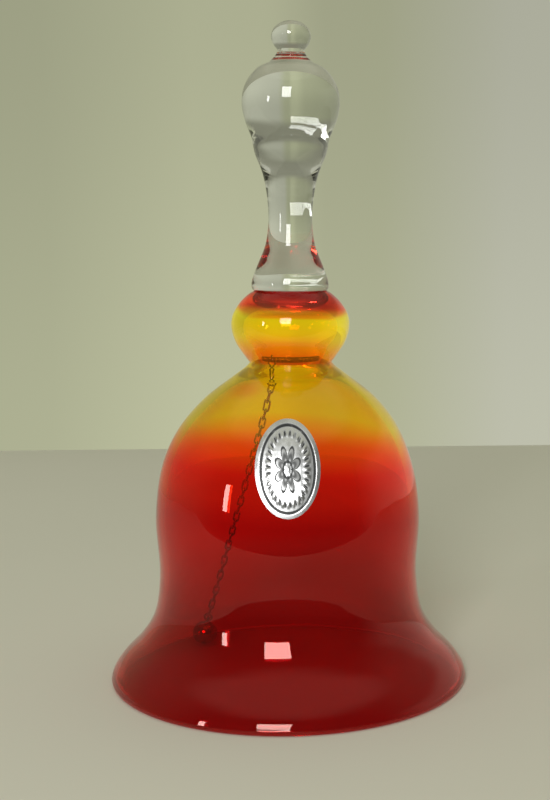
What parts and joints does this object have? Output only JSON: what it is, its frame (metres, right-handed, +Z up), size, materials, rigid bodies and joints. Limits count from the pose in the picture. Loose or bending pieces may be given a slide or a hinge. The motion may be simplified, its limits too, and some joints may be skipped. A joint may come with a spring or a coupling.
{
  "type": "glass hand bell",
  "caption": "Blown glass hand bell, amber shading to red, with a flared rim, a clear glass handle, an oval foil label and a ball clapper on a fine chain.",
  "frame": {"origin": "centre of the rim's ground ring, on the surface that the bell stands on", "axes": "+Z up along the bell's axis to the finial; -Y is the front, where the foil label is"},
  "size_m": [0.1004, 0.1004, 0.182],
  "materials": {
    "struck_glass": "polished",
    "clear_glass": "polished",
    "silver_foil": "brushed",
    "chain_steel": "tarnished",
    "clapper_metal": "polished"
  },
  "bodies": {
    "bell": {"bell_body": "struck_glass", "handle": "clear_glass", "foil_label": "silver_foil", "neck_bar": "chain_steel"},
    "hanger": {"hanger_loop": "chain_steel"},
    "link_01": {"chain_link_01": "chain_steel"},
    "link_02": {"chain_link_02": "chain_steel"},
    "link_03": {"chain_link_03": "chain_steel"},
    "link_04": {"chain_link_04": "chain_steel"},
    "link_05": {"chain_link_05": "chain_steel"},
    "link_06": {"chain_link_06": "chain_steel"},
    "link_07": {"chain_link_07": "chain_steel"},
    "link_08": {"chain_link_08": "chain_steel"},
    "link_09": {"chain_link_09": "chain_steel"},
    "link_10": {"chain_link_10": "chain_steel"},
    "link_11": {"chain_link_11": "chain_steel"},
    "link_12": {"chain_link_12": "chain_steel"},
    "link_13": {"chain_link_13": "chain_steel"},
    "link_14": {"chain_link_14": "chain_steel"},
    "link_15": {"chain_link_15": "chain_steel"},
    "link_16": {"chain_link_16": "chain_steel"},
    "link_17": {"chain_link_17": "chain_steel"},
    "link_18": {"chain_link_18": "chain_steel"},
    "link_19": {"chain_link_19": "chain_steel"},
    "link_20": {"chain_link_20": "chain_steel"},
    "link_21": {"chain_link_21": "chain_steel"},
    "link_22": {"chain_link_22": "chain_steel"},
    "link_23": {"chain_link_23": "chain_steel"},
    "link_24": {"chain_link_24": "chain_steel"},
    "link_25": {"chain_link_25": "chain_steel"},
    "link_26": {"chain_link_26": "chain_steel"},
    "link_27": {"chain_link_27": "chain_steel"},
    "link_28": {"chain_link_28": "chain_steel"},
    "link_29": {"chain_link_29": "chain_steel"},
    "link_30": {"chain_link_30": "chain_steel"},
    "clapper_ring_body": {"clapper_ring": "chain_steel"},
    "clapper": {"clapper_ball": "clapper_metal"}
  },
  "joints": [
    {"name": "hanger_swing", "type": "hinge", "parent": "bell", "child": "hanger", "pos_m": [-0.0041, 0, 0.0908], "axis": [-1, 0, 0], "range_deg": [0, 30]},
    {"name": "chain_link_01_swing", "type": "hinge", "parent": "hanger", "child": "link_01", "pos_m": [-0.0041, 0, 0.08225], "axis": [0.7778, 0.6285, 0], "range_deg": [-4, 0]},
    {"name": "chain_link_02_swing", "type": "hinge", "parent": "link_01", "child": "link_02", "pos_m": [-0.00476, 0.00082, 0.07983], "axis": [-0.5759, 0.7128, 0.4003], "range_deg": [-5, 5]},
    {"name": "chain_link_03_swing", "type": "hinge", "parent": "link_02", "child": "link_03", "pos_m": [-0.00542, 0.00164, 0.07742], "axis": [0.7778, 0.6285, 0], "range_deg": [-4, 0]},
    {"name": "chain_link_04_swing", "type": "hinge", "parent": "link_03", "child": "link_04", "pos_m": [-0.00609, 0.00246, 0.075], "axis": [0.5751, -0.7118, -0.4031], "range_deg": [-5, 5]},
    {"name": "chain_link_05_swing", "type": "hinge", "parent": "link_04", "child": "link_05", "pos_m": [-0.00676, 0.00329, 0.07259], "axis": [0.7778, 0.6285, 0], "range_deg": [-4, 0]},
    {"name": "chain_link_06_swing", "type": "hinge", "parent": "link_05", "child": "link_06", "pos_m": [-0.00743, 0.00412, 0.07018], "axis": [-0.5743, 0.7109, 0.406], "range_deg": [-5.5, 5.5]},
    {"name": "chain_link_07_swing", "type": "hinge", "parent": "link_06", "child": "link_07", "pos_m": [-0.0081, 0.00495, 0.06777], "axis": [0.7778, 0.6285, 0], "range_deg": [-4.5, 0]},
    {"name": "chain_link_08_swing", "type": "hinge", "parent": "link_07", "child": "link_08", "pos_m": [-0.00877, 0.00579, 0.06537], "axis": [0.5735, -0.7098, -0.4089], "range_deg": [-6, 6]},
    {"name": "chain_link_09_swing", "type": "hinge", "parent": "link_08", "child": "link_09", "pos_m": [-0.00945, 0.00662, 0.06296], "axis": [0.7778, 0.6285, 0], "range_deg": [-5, 0]},
    {"name": "chain_link_10_swing", "type": "hinge", "parent": "link_09", "child": "link_10", "pos_m": [-0.01013, 0.00747, 0.06056], "axis": [-0.5727, 0.7088, 0.4118], "range_deg": [-6.5, 6.5]},
    {"name": "chain_link_11_swing", "type": "hinge", "parent": "link_10", "child": "link_11", "pos_m": [-0.01081, 0.00831, 0.05816], "axis": [0.7778, 0.6285, 0], "range_deg": [-5, 0]},
    {"name": "chain_link_12_swing", "type": "hinge", "parent": "link_11", "child": "link_12", "pos_m": [-0.0115, 0.00916, 0.05576], "axis": [0.5719, -0.7078, -0.4148], "range_deg": [-7, 7]},
    {"name": "chain_link_13_swing", "type": "hinge", "parent": "link_12", "child": "link_13", "pos_m": [-0.01218, 0.01001, 0.05336], "axis": [0.7778, 0.6285, 0], "range_deg": [-6, 0]},
    {"name": "chain_link_14_swing", "type": "hinge", "parent": "link_13", "child": "link_14", "pos_m": [-0.01287, 0.01086, 0.05096], "axis": [-0.571, 0.7067, 0.4178], "range_deg": [-7.5, 7.5]},
    {"name": "chain_link_15_swing", "type": "hinge", "parent": "link_14", "child": "link_15", "pos_m": [-0.01357, 0.01172, 0.04857], "axis": [0.7778, 0.6285, 0], "range_deg": [-6.5, 0]},
    {"name": "chain_link_16_swing", "type": "hinge", "parent": "link_15", "child": "link_16", "pos_m": [-0.01426, 0.01258, 0.04617], "axis": [0.5701, -0.7056, -0.4208], "range_deg": [-8.5, 8.5]},
    {"name": "chain_link_17_swing", "type": "hinge", "parent": "link_16", "child": "link_17", "pos_m": [-0.01496, 0.01344, 0.04378], "axis": [0.7778, 0.6285, 0], "range_deg": [-7, 0]},
    {"name": "chain_link_18_swing", "type": "hinge", "parent": "link_17", "child": "link_18", "pos_m": [-0.01566, 0.0143, 0.04139], "axis": [-0.5692, 0.7045, 0.4239], "range_deg": [-9.5, 9.5]},
    {"name": "chain_link_19_swing", "type": "hinge", "parent": "link_18", "child": "link_19", "pos_m": [-0.01636, 0.01517, 0.03901], "axis": [0.7778, 0.6285, 0], "range_deg": [-8, 0]},
    {"name": "chain_link_20_swing", "type": "hinge", "parent": "link_19", "child": "link_20", "pos_m": [-0.01706, 0.01605, 0.03662], "axis": [0.5683, -0.7034, -0.427], "range_deg": [-11, 11]},
    {"name": "chain_link_21_swing", "type": "hinge", "parent": "link_20", "child": "link_21", "pos_m": [-0.01777, 0.01692, 0.03424], "axis": [0.7778, 0.6285, 0], "range_deg": [-9, 1.5]},
    {"name": "chain_link_22_swing", "type": "hinge", "parent": "link_21", "child": "link_22", "pos_m": [-0.01848, 0.0178, 0.03186], "axis": [-0.5673, 0.7022, 0.4302], "range_deg": [-12.5, 12.5]},
    {"name": "chain_link_23_swing", "type": "hinge", "parent": "link_22", "child": "link_23", "pos_m": [-0.01919, 0.01868, 0.02948], "axis": [0.7778, 0.6285, 0], "range_deg": [-10, 2]},
    {"name": "chain_link_24_swing", "type": "hinge", "parent": "link_23", "child": "link_24", "pos_m": [-0.01991, 0.01957, 0.0271], "axis": [0.5664, -0.701, -0.4334], "range_deg": [-15, 15]},
    {"name": "chain_link_25_swing", "type": "hinge", "parent": "link_24", "child": "link_25", "pos_m": [-0.02063, 0.02046, 0.02473], "axis": [0.7778, 0.6285, 0], "range_deg": [-11, 2.5]},
    {"name": "chain_link_26_swing", "type": "hinge", "parent": "link_25", "child": "link_26", "pos_m": [-0.02135, 0.02135, 0.02235], "axis": [-0.5654, 0.6998, 0.4366], "range_deg": [-18.5, 18.5]},
    {"name": "chain_link_27_swing", "type": "hinge", "parent": "link_26", "child": "link_27", "pos_m": [-0.02207, 0.02224, 0.01998], "axis": [-0.7778, -0.6285, 0], "range_deg": [-3.5, 12.5]},
    {"name": "chain_link_28_swing", "type": "hinge", "parent": "link_27", "child": "link_28", "pos_m": [-0.0228, 0.02314, 0.01761], "axis": [0.5644, -0.6985, -0.4399], "range_deg": [-24, 24]},
    {"name": "chain_link_29_swing", "type": "hinge", "parent": "link_28", "child": "link_29", "pos_m": [-0.02353, 0.02404, 0.01525], "axis": [0.7778, 0.6285, 0], "range_deg": [-14, 5.5]},
    {"name": "chain_link_30_swing", "type": "hinge", "parent": "link_29", "child": "link_30", "pos_m": [-0.02426, 0.02495, 0.01288], "axis": [-0.5634, 0.6972, 0.4433], "range_deg": [-25, 25]},
    {"name": "clapper_ring_swing", "type": "hinge", "parent": "link_30", "child": "clapper_ring_body", "pos_m": [-0.02499, 0.02586, 0.01052], "axis": [-0.7778, -0.6285, 0], "range_deg": [-9.5, 15]},
    {"name": "clapper_swing", "type": "hinge", "parent": "clapper_ring_body", "child": "clapper", "pos_m": [-0.0254, 0.02636, 0.00895], "axis": [0.5926, -0.7335, -0.3328], "range_deg": [-25, 25]}
  ]
}
